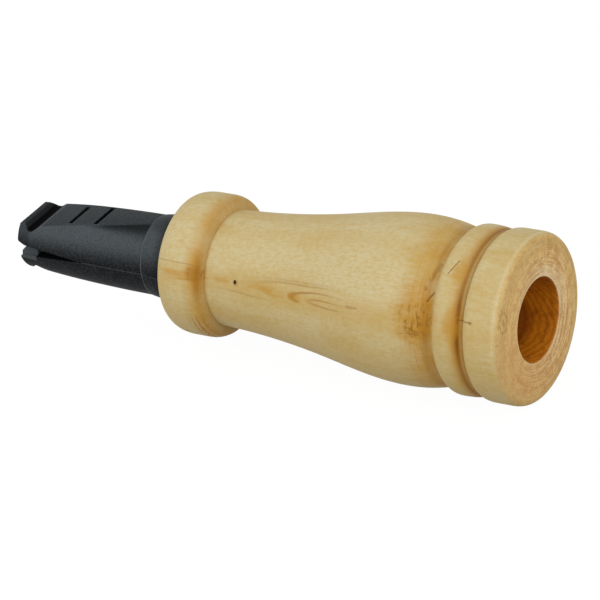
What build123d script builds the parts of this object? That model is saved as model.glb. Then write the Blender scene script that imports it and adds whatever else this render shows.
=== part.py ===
# Bird call: a turned wooden barrel with a two-half bite mouthpiece that clamps a thin reed.
# The call lies along X, with its bell face at x = 0, its bell opening towards +X and its
# mouthpiece towards -X. The parting plane of the mouthpiece is z = 0. Sizes are in millimetres.
import os
from math import radians, tan

from build123d import *

os.makedirs("parts", exist_ok=True)

# Bores of the barrel, from the bell inwards
bell_bore_r = 8.0
drill_point_angle = 118.0
throat_r = 5.0
throat_length = 8.3
socket_r = 7.25
socket_depth = 17.5

# Outside of the barrel, stretch by stretch from the bell face to the mouthpiece end
bell_face_r = 14.9
bell_edge_length = 2.0
bell_ring_r = 16.32
bell_ring_length = 7.5
bell_shoulder_length = 2.1
lanyard_groove_r = 14.75
second_ring_r = 16.1
second_ring_length = 6.55
second_ring_lean = 0.35
second_shoulder_length = 1.87
second_groove_r = 14.35
belly_r = 16.15
belly_length = 11.25
taper_r = 13.62
taper_length = 17.7
waist_r = 11.66
waist_length = 15.2
neck_length = 7.4
bead_root_r = 11.26
bead_r = 13.85
bead_length = 10.2
bead_flank_length = 3.0
bead_end_length = 4.4
end_face_r = 10.8

# Mouthpiece: spigot in the socket, flared collar on the wood, then two arms
spigot_clearance = 0.05
spigot_end_gap = 0.5
spigot_chamfer = 0.6
collar_length = 6.4
collar_seat_width = 1.75
collar_step = 0.12
arm_length = 30.1
arm_root_r = 7.88
arm_middle_r = 7.5
arm_tip_r = 6.45
tip_round = 0.7

# Flat on the outside of each arm, with cross slots and the bite groove behind the end lip
flat_root_z = 7.82
flat_middle_z = 6.72
flat_front_z = 4.95
flat_front_from_tip = 5.25
slot_from_flat_front = 6.4
slot_pitch = 6.0
slot_count = 2
slot_length = 6.9
slot_width = 1.0
slot_depth = 1.1
bite_groove_z = 3.7
bite_groove_from_tip = 3.0
bite_groove_width = 0.8
lip_z = 4.95
lip_thickness = 1.6
lip_chamfer = 0.5
lip_round = 0.7

# Gap between the jaws, from the flex line to the tips
flex_from_tip = 16.3
jaw_gap_at_tip = 2.5
jaw_nose_length = 1.85
jaw_nose_height = 0.8

# Tooth that narrows the gap at the tip of the lower jaw
tooth_from_tip = 0.7
tooth_length = 3.7
tooth_top_z = 0.5
tooth_inset = 0.25
tooth_side_lean = 0.7
tooth_nose_chamfer = 1.0

# Reed in the parting plane, and the sound channel under it
reed_thickness = 0.25
reed_width = 8.0
reed_side_clearance = 0.2
reed_tail_length = 14.0
reed_tip_round = 2.5
reed_flex_gap = 0.02
tongue_relief = 0.35
tongue_end_clearance = 0.5
tongue_to_tooth = 2.3
channel_width = 5.0
channel_depth = 3.2
channel_round = 1.2

# Pegs on the lower half that line up the upper half
peg_r = 0.7
peg_height = 1.2
peg_clearance = 0.05

# Places along X, worked out from the lengths above
lanyard_groove_x = -bell_ring_length
second_groove_x = lanyard_groove_x - second_ring_length
belly_x = second_groove_x - belly_length
taper_x = belly_x - taper_length
waist_x = taper_x - waist_length
bead_root_x = waist_x - neck_length
wood_end_x = bead_root_x - bead_length
socket_floor_x = wood_end_x + socket_depth
bore_end_x = socket_floor_x + throat_length
spigot_end_x = socket_floor_x - spigot_end_gap
spigot_r = socket_r - spigot_clearance
collar_edge_x = wood_end_x - collar_length
tip_x = collar_edge_x - arm_length
flex_x = tip_x + flex_from_tip
flat_front_x = tip_x + flat_front_from_tip
bite_groove_x = tip_x + bite_groove_from_tip
tooth_rear_x = tip_x + tooth_from_tip + tooth_length
reed_rear_x = flex_x + reed_tail_length
tongue_front_x = tooth_rear_x + tongue_to_tooth
relief_front_x = tongue_front_x - tongue_end_clearance

# Widths and radii that follow from others
collar_foot_r = socket_r + collar_seat_width
collar_edge_r = arm_root_r + collar_step
clear_r = collar_foot_r + arm_root_r
seat_width = reed_width + 2 * reed_side_clearance
jaw_slope = jaw_gap_at_tip / 2 / flex_from_tip
jaw_nose_z = jaw_slope * (flex_from_tip - jaw_nose_length)
jaw_nose_front_z = jaw_nose_z + jaw_nose_height
tooth_foot_y = arm_tip_r - tooth_inset
tooth_top_y = tooth_foot_y - tooth_side_lean
peg_y = (seat_width / 2 + spigot_r) / 2
peg_places = [
    (x, side * peg_y)
    for x in ((spigot_end_x + wood_end_x) / 2, (collar_edge_x + flex_x) / 2)
    for side in (-1, 1)
]

# Barrel: one turned piece with a stepped bore
with BuildPart() as barrel:
    with BuildSketch(Plane.XY):
        with BuildLine():
            Line((0, bell_bore_r), (0, bell_face_r))
            Bezier((0, bell_face_r), (0, bell_ring_r), (-bell_edge_length, bell_ring_r))
            shoulder_x = lanyard_groove_x + bell_shoulder_length
            Line((-bell_edge_length, bell_ring_r), (shoulder_x, bell_ring_r))
            Bezier(
                (shoulder_x, bell_ring_r),
                (lanyard_groove_x, bell_ring_r),
                (lanyard_groove_x, lanyard_groove_r),
            )
            second_shoulder_x = second_groove_x + second_shoulder_length
            Bezier(
                (lanyard_groove_x, lanyard_groove_r),
                (lanyard_groove_x - second_ring_lean, second_ring_r),
                (second_shoulder_x, second_ring_r),
            )
            Bezier(
                (second_shoulder_x, second_ring_r),
                (second_groove_x, second_ring_r),
                (second_groove_x, second_groove_r),
            )
            Spline(
                (second_groove_x, second_groove_r),
                (belly_x, belly_r),
                (taper_x, taper_r),
                (waist_x, waist_r),
                (bead_root_x, bead_root_r),
            )
            flank_x = bead_root_x - bead_flank_length
            crown_x = wood_end_x + bead_end_length
            Bezier((bead_root_x, bead_root_r), (bead_root_x, bead_r), (flank_x, bead_r))
            Line((flank_x, bead_r), (crown_x, bead_r))
            Bezier((crown_x, bead_r), (wood_end_x, bead_r), (wood_end_x, end_face_r))
            drill_cone_length = (bell_bore_r - throat_r) / tan(radians(drill_point_angle / 2))
            Polyline(
                (wood_end_x, end_face_r),
                (wood_end_x, socket_r),
                (socket_floor_x, socket_r),
                (socket_floor_x, throat_r),
                (bore_end_x - drill_cone_length, throat_r),
                (bore_end_x, bell_bore_r),
                (0, bell_bore_r),
            )
        make_face()
    revolve(axis=Axis.X)

# Round blank that both mouthpiece halves share
with BuildPart() as blank:
    with BuildSketch(Plane.XY):
        with BuildLine():
            Polyline(
                (tip_x, 0),
                (spigot_end_x, 0),
                (spigot_end_x, spigot_r - spigot_chamfer),
                (spigot_end_x - spigot_chamfer, spigot_r),
                (wood_end_x, spigot_r),
                (wood_end_x, collar_foot_r),
                (collar_edge_x, collar_edge_r),
                (collar_edge_x, arm_root_r),
            )
            ThreePointArc(
                (collar_edge_x, arm_root_r),
                ((collar_edge_x + tip_x) / 2, arm_middle_r),
                (tip_x, arm_tip_r),
            )
            Line((tip_x, arm_tip_r), (tip_x, 0))
        make_face()
    revolve(axis=Axis.X)
    fillet(blank.faces().sort_by(Axis.X)[0].edges(), tip_round)

# What both halves have alike, drawn for the upper one: the flat with its slots, the bite groove and
# end lip, half the gap between the jaws, and half the seat of the reed
with BuildPart() as half:
    add(blank.part)
    with BuildSketch(Plane.XZ):
        with BuildLine():
            flat_arc = ThreePointArc(
                (collar_edge_x, flat_root_z),
                ((collar_edge_x + flat_front_x) / 2, flat_middle_z),
                (flat_front_x, flat_front_z),
            )
            FilletPolyline(
                (flat_front_x, flat_front_z),
                (bite_groove_x + bite_groove_width / 2, bite_groove_z),
                (bite_groove_x - bite_groove_width / 2, bite_groove_z),
                (tip_x + lip_thickness, lip_z),
                (tip_x + lip_chamfer, lip_z),
                (tip_x, lip_z - lip_chamfer),
                (tip_x, jaw_nose_front_z),
                radius=lip_round,
            )
            Polyline(
                (tip_x, jaw_nose_front_z),
                (tip_x + jaw_nose_length, jaw_nose_z),
                (flex_x, 0),
                (spigot_end_x, 0),
                (spigot_end_x, clear_r),
                (collar_edge_x, clear_r),
                (collar_edge_x, flat_root_z),
            )
        make_face()
    extrude(amount=clear_r, both=True, mode=Mode.INTERSECT)
    for slot in range(slot_count):
        slot_x = flat_front_x + slot_from_flat_front + slot * slot_pitch
        share = (slot_x - collar_edge_x) / (flat_front_x - collar_edge_x)
        on_flat = flat_arc @ share
        along_flat = flat_arc % share
        slot_plane = Plane(
            origin=(on_flat.X, 0, on_flat.Y),
            x_dir=(0, 1, 0),
            z_dir=(along_flat.Y, 0, -along_flat.X),
        )
        with BuildSketch(slot_plane):
            SlotOverall(slot_length, slot_width)
        extrude(amount=slot_depth, both=True, mode=Mode.SUBTRACT)
    with BuildSketch(Plane.XZ):
        with BuildLine():
            Polyline(
                (reed_rear_x, 0),
                (reed_rear_x, reed_thickness / 2),
                (flex_x, reed_thickness / 2),
                (flex_x, tongue_relief),
                (relief_front_x, tongue_relief + jaw_slope * (flex_x - relief_front_x)),
                (relief_front_x, 0),
                (reed_rear_x, 0),
            )
        make_face()
    extrude(amount=seat_width / 2, both=True, mode=Mode.SUBTRACT)

# Upper half: holes for the pegs
with BuildPart() as upper_moulding:
    add(half.part)
    with BuildSketch(Plane.XY):
        with Locations(*peg_places):
            Circle(peg_r + peg_clearance)
    extrude(amount=peg_height + peg_clearance, mode=Mode.SUBTRACT)

# Lower half: pegs, the sound channel and the tooth at the tip
with BuildPart() as lower_moulding:
    add(half.part.mirror(Plane.XY))
    with BuildSketch(Plane.XY):
        with Locations(*peg_places):
            Circle(peg_r)
    extrude(amount=peg_height)
    with BuildSketch(Plane.YZ.offset(spigot_end_x)):
        RectangleRounded(channel_width, 2 * channel_depth, channel_round)
    extrude(amount=relief_front_x - spigot_end_x, mode=Mode.SUBTRACT)
    with BuildSketch(Plane.YZ.offset(tooth_rear_x)):
        with BuildLine():
            Polyline(
                (-tooth_foot_y, -jaw_nose_front_z),
                (-tooth_top_y, tooth_top_z),
                (tooth_top_y, tooth_top_z),
                (tooth_foot_y, -jaw_nose_front_z),
                close=True,
            )
        make_face()
    extrude(amount=-tooth_length)
    nose = lower_moulding.faces().filter_by_position(Axis.Z, tooth_top_z, tooth_top_z)
    chamfer(nose.edges().sort_by(Axis.X)[0], tooth_nose_chamfer)

# The two mouldings and the reed bend at the flex line, so each is cut there into a held part and a
# part that moves
flex_plane = Plane(origin=(flex_x, 0, 0), z_dir=(1, 0, 0))

with BuildPart() as upper_spigot_half:
    add(upper_moulding.part)
    split(bisect_by=flex_plane, keep=Keep.TOP)

with BuildPart() as upper_bite_jaw:
    add(upper_moulding.part)
    split(bisect_by=flex_plane, keep=Keep.BOTTOM)

with BuildPart() as lower_spigot_half:
    add(lower_moulding.part)
    split(bisect_by=flex_plane, keep=Keep.TOP)

with BuildPart() as lower_bite_jaw:
    add(lower_moulding.part)
    split(bisect_by=flex_plane, keep=Keep.BOTTOM)

with BuildPart() as reed_tail:
    with BuildSketch(Plane.XY):
        with Locations(((reed_rear_x + flex_x) / 2, 0)):
            Rectangle(reed_tail_length, reed_width)
    extrude(amount=reed_thickness / 2, both=True)

with BuildPart() as reed_tongue:
    with BuildSketch(Plane.XY) as tongue_plan:
        tongue_rear_x = flex_x - reed_flex_gap
        with Locations(((tongue_rear_x + tongue_front_x) / 2, 0)):
            Rectangle(tongue_rear_x - tongue_front_x, reed_width)
        fillet(tongue_plan.vertices().group_by(Axis.X)[0], reed_tip_round)
    extrude(amount=reed_thickness / 2, both=True)

pieces = {
    "barrel": barrel,
    "upper_spigot_half": upper_spigot_half,
    "upper_bite_jaw": upper_bite_jaw,
    "lower_spigot_half": lower_spigot_half,
    "lower_bite_jaw": lower_bite_jaw,
    "reed_tail": reed_tail,
    "reed_tongue": reed_tongue,
}
for name, piece in pieces.items():
    piece.part.label = name
    export_step(piece.part, f"parts/{name}.step")
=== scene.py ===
import math

import bpy
import numpy as np
from mathutils import Matrix, Vector


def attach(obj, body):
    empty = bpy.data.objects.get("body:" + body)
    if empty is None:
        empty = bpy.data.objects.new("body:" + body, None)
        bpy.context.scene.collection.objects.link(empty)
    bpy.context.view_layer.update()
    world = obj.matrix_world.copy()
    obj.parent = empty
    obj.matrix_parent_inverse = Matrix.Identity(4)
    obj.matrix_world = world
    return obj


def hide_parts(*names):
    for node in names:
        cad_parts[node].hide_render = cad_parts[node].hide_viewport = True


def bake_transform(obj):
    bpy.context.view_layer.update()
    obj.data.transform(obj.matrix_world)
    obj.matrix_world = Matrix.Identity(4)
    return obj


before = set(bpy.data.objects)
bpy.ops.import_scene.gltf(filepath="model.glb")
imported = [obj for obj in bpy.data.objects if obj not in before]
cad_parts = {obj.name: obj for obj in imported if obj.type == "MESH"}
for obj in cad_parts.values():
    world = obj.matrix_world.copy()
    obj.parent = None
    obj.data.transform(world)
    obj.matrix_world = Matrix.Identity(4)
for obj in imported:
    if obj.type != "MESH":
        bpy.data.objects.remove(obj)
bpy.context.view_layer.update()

bl_info = {
    "name": "Bird Call",
    "version": (1, 0, 0),
    "blender": (4, 5, 0),
    "location": "3D View > Sidebar > Bird Call",
    "description": "Turns the barrel, moulds the mouthpiece and cuts the reed of a wooden bird call",
    "category": "Object",
}

MM = 0.001
CALL_AXIS = (1, 0, 0)
SPIN_STEPS = 160
# Points this near to each other count as one, in an outline, in a mesh and in a finished moulding
SAME_POINT = 1e-7
SAME_VERTEX = 1e-6
SAME_CORNER = 0.02 * MM
# Cutting tools reach this far past a piece, and the side view this far past the tip
OVERCUT = MM
TIP_OVERCUT = 0.02 * MM
# The attribute that keeps each vertex's place at rest
REST_PLACE = "rest_place"
# Faces that meet at less than these angles are shaded as one surface
WOOD_SMOOTH = math.radians(35)
PLASTIC_SMOOTH = math.radians(40)
FILM_SMOOTH = math.radians(30)
# Edges of the mouldings sharper than this are rounded
MOULD_EDGE = math.radians(28)
# The stage: the sensor in millimetres, then the floor and, from the camera's aim, the lamps, in metres
SENSOR_WIDTH = 36
FLOOR_SIZE = 6.0
FLOOR_GREY = (0.44, 0.44, 0.44, 1)
FLOOR_GLOW = 1.13
FLOOR_GLOW_SHARE = 0.85
WHITE = (1, 1, 1, 1)
KEY_AWAY = (-0.5, -1.6, 0.9)
SIDE_AWAY = (1.8, -0.5, 0.7)
LAMP_SIZE = 1.0


def length(name, about, millimetres):
    """A length that a user can change, with its default in millimetres."""
    return bpy.props.FloatProperty(
        name=name, description=about, default=millimetres * MM, unit="LENGTH", precision=5
    )


def angle(name, about, degrees):
    """An angle that a user can change, with its default in degrees."""
    return bpy.props.FloatProperty(
        name=name, description=about, default=math.radians(degrees), subtype="ANGLE"
    )


def tone(name, about, red, green, blue):
    """A colour that a user can change, with its default as it shows on a screen, from 0 to 255."""
    shown = (value / 255 for value in (red, green, blue))
    return bpy.props.FloatVectorProperty(
        name=name,
        description=about,
        default=[v / 12.92 if v < 0.04045 else ((v + 0.055) / 1.055) ** 2.4 for v in shown],
        subtype="COLOR",
        min=0,
        max=1,
    )


class BarrelSettings(bpy.types.PropertyGroup):
    """Sizes of the turned barrel, stretch by stretch from the bell face to the mouthpiece end."""

    bore_r: length("Bore Radius", "Radius of the drilled bell bore", 8.0)
    bore_depth: length("Bore Depth", "Depth of the bell bore to the drill's shoulder", 50.0)
    drill_point: angle("Drill Point", "Angle of the drill's point at the end of the bore", 118)
    throat_r: length("Throat Radius", "Radius of the air passage past the bore", 5.0)
    throat_length: length("Throat Length", "Length of the air passage to the socket", 8.3)
    socket_r: length("Socket Radius", "Radius of the socket for the mouthpiece", 7.25)
    mouth_break: length("Mouth Break", "Width of the broken edge at each mouth", 0.3)
    face_r: length("Face Radius", "Radius of the flat bell face", 14.9)
    face_edge: length("Face Edge", "Length of the rounded edge of the bell face", 2.0)
    ring_r: length("Bell Ring Radius", "Radius of the bell ring", 16.32)
    ring_length: length("Bell Ring Length", "Bell face to the lanyard groove", 7.5)
    ring_shoulder: length("Bell Ring Shoulder", "Length of the bell ring's rounded shoulder", 2.1)
    groove_r: length("Lanyard Groove Radius", "Radius at the bottom of the lanyard groove", 14.75)
    second_r: length("Second Ring Radius", "Radius of the second ring", 16.1)
    second_length: length("Second Ring Length", "Lanyard groove to the second groove", 6.55)
    second_lean: length("Second Ring Lean", "Lean of the second ring's flank at the groove", 0.35)
    second_shoulder: length("Second Ring Shoulder", "Length of the second ring's shoulder", 1.87)
    second_groove_r: length("Second Groove Radius", "Radius at the bottom of the groove", 14.35)
    belly_r: length("Belly Radius", "Radius at the belly", 16.15)
    belly_length: length("Belly Length", "Second groove to the belly", 11.25)
    taper_r: length("Taper Radius", "Radius half-way down the taper", 13.62)
    taper_length: length("Taper Length", "Belly to the middle of the taper", 17.7)
    waist_r: length("Waist Radius", "Radius at the waist", 11.66)
    waist_length: length("Waist Length", "Middle of the taper to the waist", 15.2)
    neck_r: length("Neck Radius", "Radius at the root of the bead", 11.26)
    neck_length: length("Neck Length", "Waist to the root of the bead", 7.4)
    bead_r: length("Bead Radius", "Radius of the end bead", 13.85)
    bead_length: length("Bead Length", "Root of the bead to the end of the wood", 10.2)
    bead_flank: length("Bead Flank", "Length of the bead's flank on the neck side", 3.0)
    bead_end: length("Bead End", "Length of the bead's rounded end", 4.4)
    end_r: length("End Face Radius", "Radius of the flat end face around the socket", 10.8)


class MouthpieceSettings(bpy.types.PropertyGroup):
    """Sizes of the two mouldings of the mouthpiece."""

    spigot_r: length("Spigot Radius", "Radius of the spigot in the socket", 7.2)
    spigot_end: length("Spigot End", "Place of the spigot's end along the call", -58.8)
    spigot_chamfer: length("Spigot Chamfer", "Chamfer at the spigot's end", 0.6)
    collar_foot: length("Collar Foot", "Place of the collar's foot, on the wood", -75.8)
    collar_foot_r: length("Collar Foot Radius", "Radius of the collar at the wood", 9.0)
    collar_edge: length("Collar Edge", "Place of the collar's edge, at the arms", -82.2)
    collar_edge_r: length("Collar Edge Radius", "Radius of the collar at the arms", 8.0)
    arm_root_r: length("Arm Root Radius", "Radius of the arms at the collar", 7.88)
    arm_middle_r: length("Arm Middle Radius", "Radius of the arms half-way to the tip", 7.5)
    arm_tip_r: length("Arm Tip Radius", "Radius of the arms at the tip", 6.45)
    tip: length("Tip", "Place of the tip along the call", -112.3)
    tip_round: length("Tip Round", "Rounding of the tip's rim", 0.7)
    tip_swell: length("Tip Swell", "How much wider the arms are where the rim's rounding starts", 0.08)
    flat_root: length("Flat Root Height", "Height of the flat at the collar", 7.82)
    flat_middle: length("Flat Middle Height", "Height of the flat at its middle", 6.72)
    flat_front: length("Flat Front Height", "Height of the flat at its front edge", 4.95)
    flat_front_from_tip: length("Flat Front From Tip", "Tip to the front edge of the flat", 5.25)
    slot_count: bpy.props.IntProperty(
        name="Slots", description="Number of cross slots in each flat", default=2, min=0
    )
    slot_from_front: length("Slot From Front", "Front edge of the flat to the first slot", 6.4)
    slot_pitch: length("Slot Pitch", "Distance between the slots", 6.0)
    slot_length: length("Slot Length", "Length of each slot across the flat", 6.9)
    slot_width: length("Slot Width", "Width of each slot", 1.0)
    slot_depth: length("Slot Depth", "Depth of each slot", 1.1)
    bite_height: length("Bite Groove Height", "Height of the bottom of the bite groove", 3.7)
    bite_from_tip: length("Bite Groove From Tip", "Tip to the middle of the bite groove", 3.0)
    bite_width: length("Bite Groove Width", "Width of the bite groove's bottom", 0.8)
    lip_height: length("Lip Height", "Height of the end lip", 4.95)
    lip_thickness: length("Lip Thickness", "Thickness of the end lip", 1.6)
    lip_chamfer: length("Lip Chamfer", "Chamfer of the end lip", 0.5)
    lip_round: length("Lip Round", "Rounding of the end lip and of the bite groove", 0.7)
    flex_from_tip: length("Flex From Tip", "Tip to the line where the jaws part and bend", 16.3)
    jaw_gap: length("Jaw Gap", "Gap between the jaws at the tip", 2.5)
    nose_length: length("Nose Length", "Length of the chamfer at the nose of each jaw", 1.85)
    nose_height: length("Nose Height", "Height of the chamfer at the nose of each jaw", 0.8)
    tooth_from_tip: length("Tooth From Tip", "Tip to the front of the lower jaw's tooth", 0.7)
    tooth_length: length("Tooth Length", "Length of the tooth", 3.7)
    tooth_top: length("Tooth Top", "Height of the tooth's top", 0.5)
    tooth_foot: length("Tooth Foot", "Half width of the tooth at its foot", 6.2)
    tooth_crest: length("Tooth Crest", "Half width of the tooth at its top", 5.5)
    tooth_nose: length("Tooth Nose", "Chamfer at the front of the tooth", 1.0)
    peg_r: length("Peg Radius", "Radius of the pegs that line up the halves", 0.7)
    peg_height: length("Peg Height", "Height of the pegs", 1.2)
    peg_room: length("Peg Room", "Room round each peg in its hole", 0.05)
    channel_width: length("Channel Width", "Width of the sound channel under the reed", 5.0)
    channel_depth: length("Channel Depth", "Depth of the sound channel", 3.2)
    channel_round: length("Channel Round", "Rounding of the sound channel's bottom", 1.2)
    edge_round: length("Edge Round", "Rounding that the mould leaves on every edge", 0.14)


class ReedSettings(bpy.types.PropertyGroup):
    """Sizes of the reed and of its seat between the two halves."""

    thickness: length("Reed Thickness", "Thickness of the film", 0.25)
    width: length("Reed Width", "Width of the strip", 8.0)
    rear: length("Reed Rear", "Place of the clamped end along the call", -82.0)
    front: length("Reed Front", "Place of the free tip along the call", -105.6)
    tip_round: length("Reed Tip Round", "Rounding of the free tip's corners", 2.5)
    side_room: length("Side Room", "Room beside the reed in its seat", 0.2)
    end_room: length("End Room", "Room in front of the free tip", 0.5)
    relief: length("Relief", "Room above and below the tongue at the flex line", 0.35)


class FinishSettings(bpy.types.PropertyGroup):
    """Colours of the wood, the plastic and the film."""

    pale: tone("Pale Wood", "Palest early wood", 207, 192, 147)
    straw: tone("Straw Wood", "Main colour of the wood", 199, 176, 118)
    honey: tone("Honey Wood", "Warm streaks and oiled end grain", 194, 157, 78)
    # The amber, brown and burnt tones by the grooves are partly stain, partly painted shade and warm bounce
    # light
    amber: tone("Amber Wood", "Stain in the hollows", 188, 136, 38)
    brown: tone("Brown Wood", "Ring lines, and the darker stain in the hollows", 150, 96, 20)
    burnt: tone("Burnt Wood", "Bottom of the grooves, and cracks", 112, 56, 5)
    curl: tone("Curly Grain", "Dark lines of the curly grain by the bell", 144, 96, 20)
    knot: tone("Knot", "Pin knot", 44, 26, 8)
    end_grain: tone("End Grain", "Bell face", 233, 196, 128)
    end_dark: tone("Dark End Grain", "Mottling and rings of the bell face", 186, 129, 68)
    # The torn end-grain tone also paints a highlight along the bell face's rim
    end_torn: tone("Torn End Grain", "Torn fibres round the bore", 237, 219, 184)
    bore: tone("Bore Wall", "Wall of the bell bore", 217, 133, 21)
    # The dark bore tone also paints shade further into the bore and over its upper part
    bore_dark: tone("Dark Bore Wall", "Rings and patches of the bore wall", 123, 50, 6)
    black: tone("Black Plastic", "Moulded plastic of the mouthpiece", 8, 9, 11)
    # The dull grey is painted light, laid on the mouthpiece's upward-facing sides and on the tooth
    dull: tone("Dull Plastic", "Sides of the mouthpiece, dulled by handling", 78, 84, 87)
    # The grey tone also paints the highlights along the collar's edge and the flat's front edge
    grey: tone("Rubbed Plastic", "Rubbed edges, flow marks and dust, and scratches of the film", 92, 97, 101)
    # The shade tone is mostly painted shade: in the hollows, between the jaws, below the flat, near the tip,
    # on faces turned to the bell and by the wood; it also darkens random specks of the grain
    shade: tone("Deep Plastic", "Slots, grooves and inner faces of the plastic", 2, 2, 2)
    smoke: tone("Smoke Film", "Film of the reed", 52, 52, 55)


class StageSettings(bpy.types.PropertyGroup):
    """The camera's place and the level of the light."""

    lens: bpy.props.FloatProperty(
        name="Lens", description="Focal length of the camera", default=240, unit="CAMERA"
    )
    azimuth: angle("Azimuth", "Turn of the camera about the upright axis", 34.803)
    elevation: angle("Elevation", "Height of the camera above the horizon", 29.008)
    roll: angle("Roll", "Roll of the camera", -8.667)
    distance: length("Distance", "Camera to the point it looks at", 760.844)
    aim_x: length("Aim Along", "Place along the call that the camera looks at", -51.953)
    aim_z: length("Aim Height", "Height of the point that the camera looks at", -4.772)
    key_power: bpy.props.FloatProperty(
        name="Key Power", description="Power of the soft lamp on the near side", default=10.7, unit="POWER"
    )
    side_power: bpy.props.FloatProperty(
        name="Side Power", description="Power of the soft lamp before the bell", default=8.8, unit="POWER"
    )
    fill: bpy.props.FloatProperty(
        name="Fill", description="Level of the light from all around", default=0.7, min=0
    )


class BirdCallSettings(bpy.types.PropertyGroup):
    """Everything about the call that a user can change."""

    barrel: bpy.props.PointerProperty(type=BarrelSettings)
    mouthpiece: bpy.props.PointerProperty(type=MouthpieceSettings)
    reed: bpy.props.PointerProperty(type=ReedSettings)
    finish: bpy.props.PointerProperty(type=FinishSettings)
    stage: bpy.props.PointerProperty(type=StageSettings)


class Socket:
    """An output socket that stands in Python expressions, each of which adds a Math node."""

    def __init__(self, tree, socket):
        self.tree = tree
        self.socket = socket

    def node(self, kind, settings=None, sockets=None, output=0):
        """Adds a node: its settings are set first, then the values or links of its sockets."""
        node = self.tree.nodes.new("ShaderNode" + kind)
        for name, value in (settings or {}).items():
            setattr(node, name, value)
        for name, value in (sockets or {}).items():
            if isinstance(value, Socket):
                self.tree.links.new(value.socket, node.inputs[name])
            else:
                node.inputs[name].default_value = value
        return Socket(self.tree, node.outputs[output])

    def math(self, operation, *values):
        """A Math node on the given values."""
        return self.node("Math", {"operation": operation}, dict(enumerate(values)))

    def __add__(self, other):
        return self.math("ADD", self, other)

    __radd__ = __add__

    def __sub__(self, other):
        return self.math("SUBTRACT", self, other)

    def __rsub__(self, other):
        return self.math("SUBTRACT", other, self)

    def __mul__(self, other):
        return self.math("MULTIPLY", self, other)

    __rmul__ = __mul__

    def __truediv__(self, other):
        return self.math("DIVIDE", self, other)

    def __rtruediv__(self, other):
        return self.math("DIVIDE", other, self)

    def __pow__(self, other):
        return self.math("POWER", self, other)

    def __neg__(self):
        return self.math("MULTIPLY", self, -1)

    def __abs__(self):
        return self.math("ABSOLUTE", self)

    def ease(self, low, high):
        """Rises smoothly from 0 at low to 1 at high, or falls where low is the larger."""
        return self.node(
            "MapRange",
            {"interpolation_type": "SMOOTHSTEP"},
            {"Value": self, "From Min": low, "From Max": high},
        )

    def largest(self, other):
        return self.math("MAXIMUM", self, other)

    def smallest(self, other):
        return self.math("MINIMUM", self, other)

    def clamp(self):
        return self.node("Clamp", None, {"Value": self})


def new_finish(name, bends=False):
    """Makes a material and returns it, the places that it colours in millimetres, and its shader node."""
    finish = bpy.data.materials.new(name)
    finish.use_nodes = True
    tree = finish.node_tree
    shader = tree.nodes["Principled BSDF"]
    if bends:
        kept = tree.nodes.new("ShaderNodeAttribute")
        kept.attribute_name = REST_PLACE
        place = Socket(tree, kept.outputs["Vector"])
    else:
        place = Socket(tree, tree.nodes.new("ShaderNodeTexCoord").outputs["Object"])
    place = place.node("VectorMath", {"operation": "SCALE"}, {0: place, "Scale": 1 / MM})
    return finish, place, shader


def keep_rest_place(piece):
    """Notes where each vertex lies at rest, so that a finish stays in its place on a piece that bends."""
    places = np.array([vertex.co for vertex in piece.data.vertices], dtype=np.float32)
    kept = piece.data.attributes.new(REST_PLACE, "FLOAT_VECTOR", "POINT")
    kept.data.foreach_set("vector", places.ravel())


def parts_of(place):
    """The three numbers of a vector."""
    split = place.node("SeparateXYZ", None, {0: place}).socket.node
    return [Socket(place.tree, out) for out in split.outputs]


def noise(place, stretch, detail=3.0, roughness=0.5, distortion=0.0):
    """Noise from 0 to 1 over a place in millimetres, with so many waves to the millimetre on each axis."""
    stretched = place.node("VectorMath", {"operation": "MULTIPLY"}, {0: place, 1: stretch})
    sockets = {"Vector": stretched, "Scale": 1, "Detail": detail, "Roughness": roughness}
    return place.node("TexNoise", None, sockets | {"Distortion": distortion})


def paint(amount, under, over):
    """One colour laid over another by an amount from 0 to 1."""
    rgba = [c if isinstance(c, Socket) else (*c, 1) for c in (under, over)]
    return amount.node("Mix", {"data_type": "RGBA"}, {0: amount, 6: rgba[0], 7: rgba[1]}, output=2)


def coats(colour, *layers):
    """A colour with layers of paint laid over it in turn, each an amount and a colour."""
    for amount, over in layers:
        colour = paint(amount, colour, over)
    return colour


def connect(value, shader, socket):
    """Links a value to one of the shader's sockets."""
    value.tree.links.new(value.socket, shader.inputs[socket])


def bezier(start, pull, end, count):
    """Points on a curve from start to end that leaves and arrives along the lines to the pull point."""
    start, pull, end = map(np.array, (start, pull, end))
    share = np.linspace(0, 1, count)[:, None]
    return (1 - share) ** 2 * start + 2 * share * (1 - share) * pull + share**2 * end


def smooth_through(points, count):
    """Points on a smooth curve through five points, whose bend changes pace at the middle one."""
    points = np.array(points)
    along = np.concatenate(([0], np.cumsum(np.linalg.norm(np.diff(points, axis=0), axis=1))))

    def terms(place):
        return np.stack([place**n for n in range(4)] + [np.maximum(place - along[2], 0) ** 3], -1)

    weights = np.linalg.solve(terms(along), points)
    return terms(np.linspace(0, along[-1], count)) @ weights


def arc_through(start, middle, end, count):
    """Points on the circle through three points, from the first to the last."""
    start, middle, end = (complex(*point) for point in (start, middle, end))
    ratio = (end - start) / (middle - start)
    centre = start + (middle - start) * (ratio - abs(ratio) ** 2) / (ratio - ratio.conjugate())
    swing = np.angle((end - centre) / (start - centre))
    points = centre + (start - centre) * np.exp(1j * swing * np.linspace(0, 1, count))
    return np.stack([points.real, points.imag], -1)


def rounded(points, radius, count=6):
    """A chain of points with each of its inner corners rounded to a radius."""
    points = np.array(points)
    chain = [points[:1]]
    for before, corner, after in zip(points, points[1:], points[2:]):
        back = (before - corner) / np.linalg.norm(before - corner)
        onward = (after - corner) / np.linalg.norm(after - corner)
        reach = radius / math.tan(math.acos(back @ onward) / 2)
        chain.append(bezier(corner + reach * back, corner, corner + reach * onward, count))
    return np.concatenate([*chain, points[-1:]])


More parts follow.
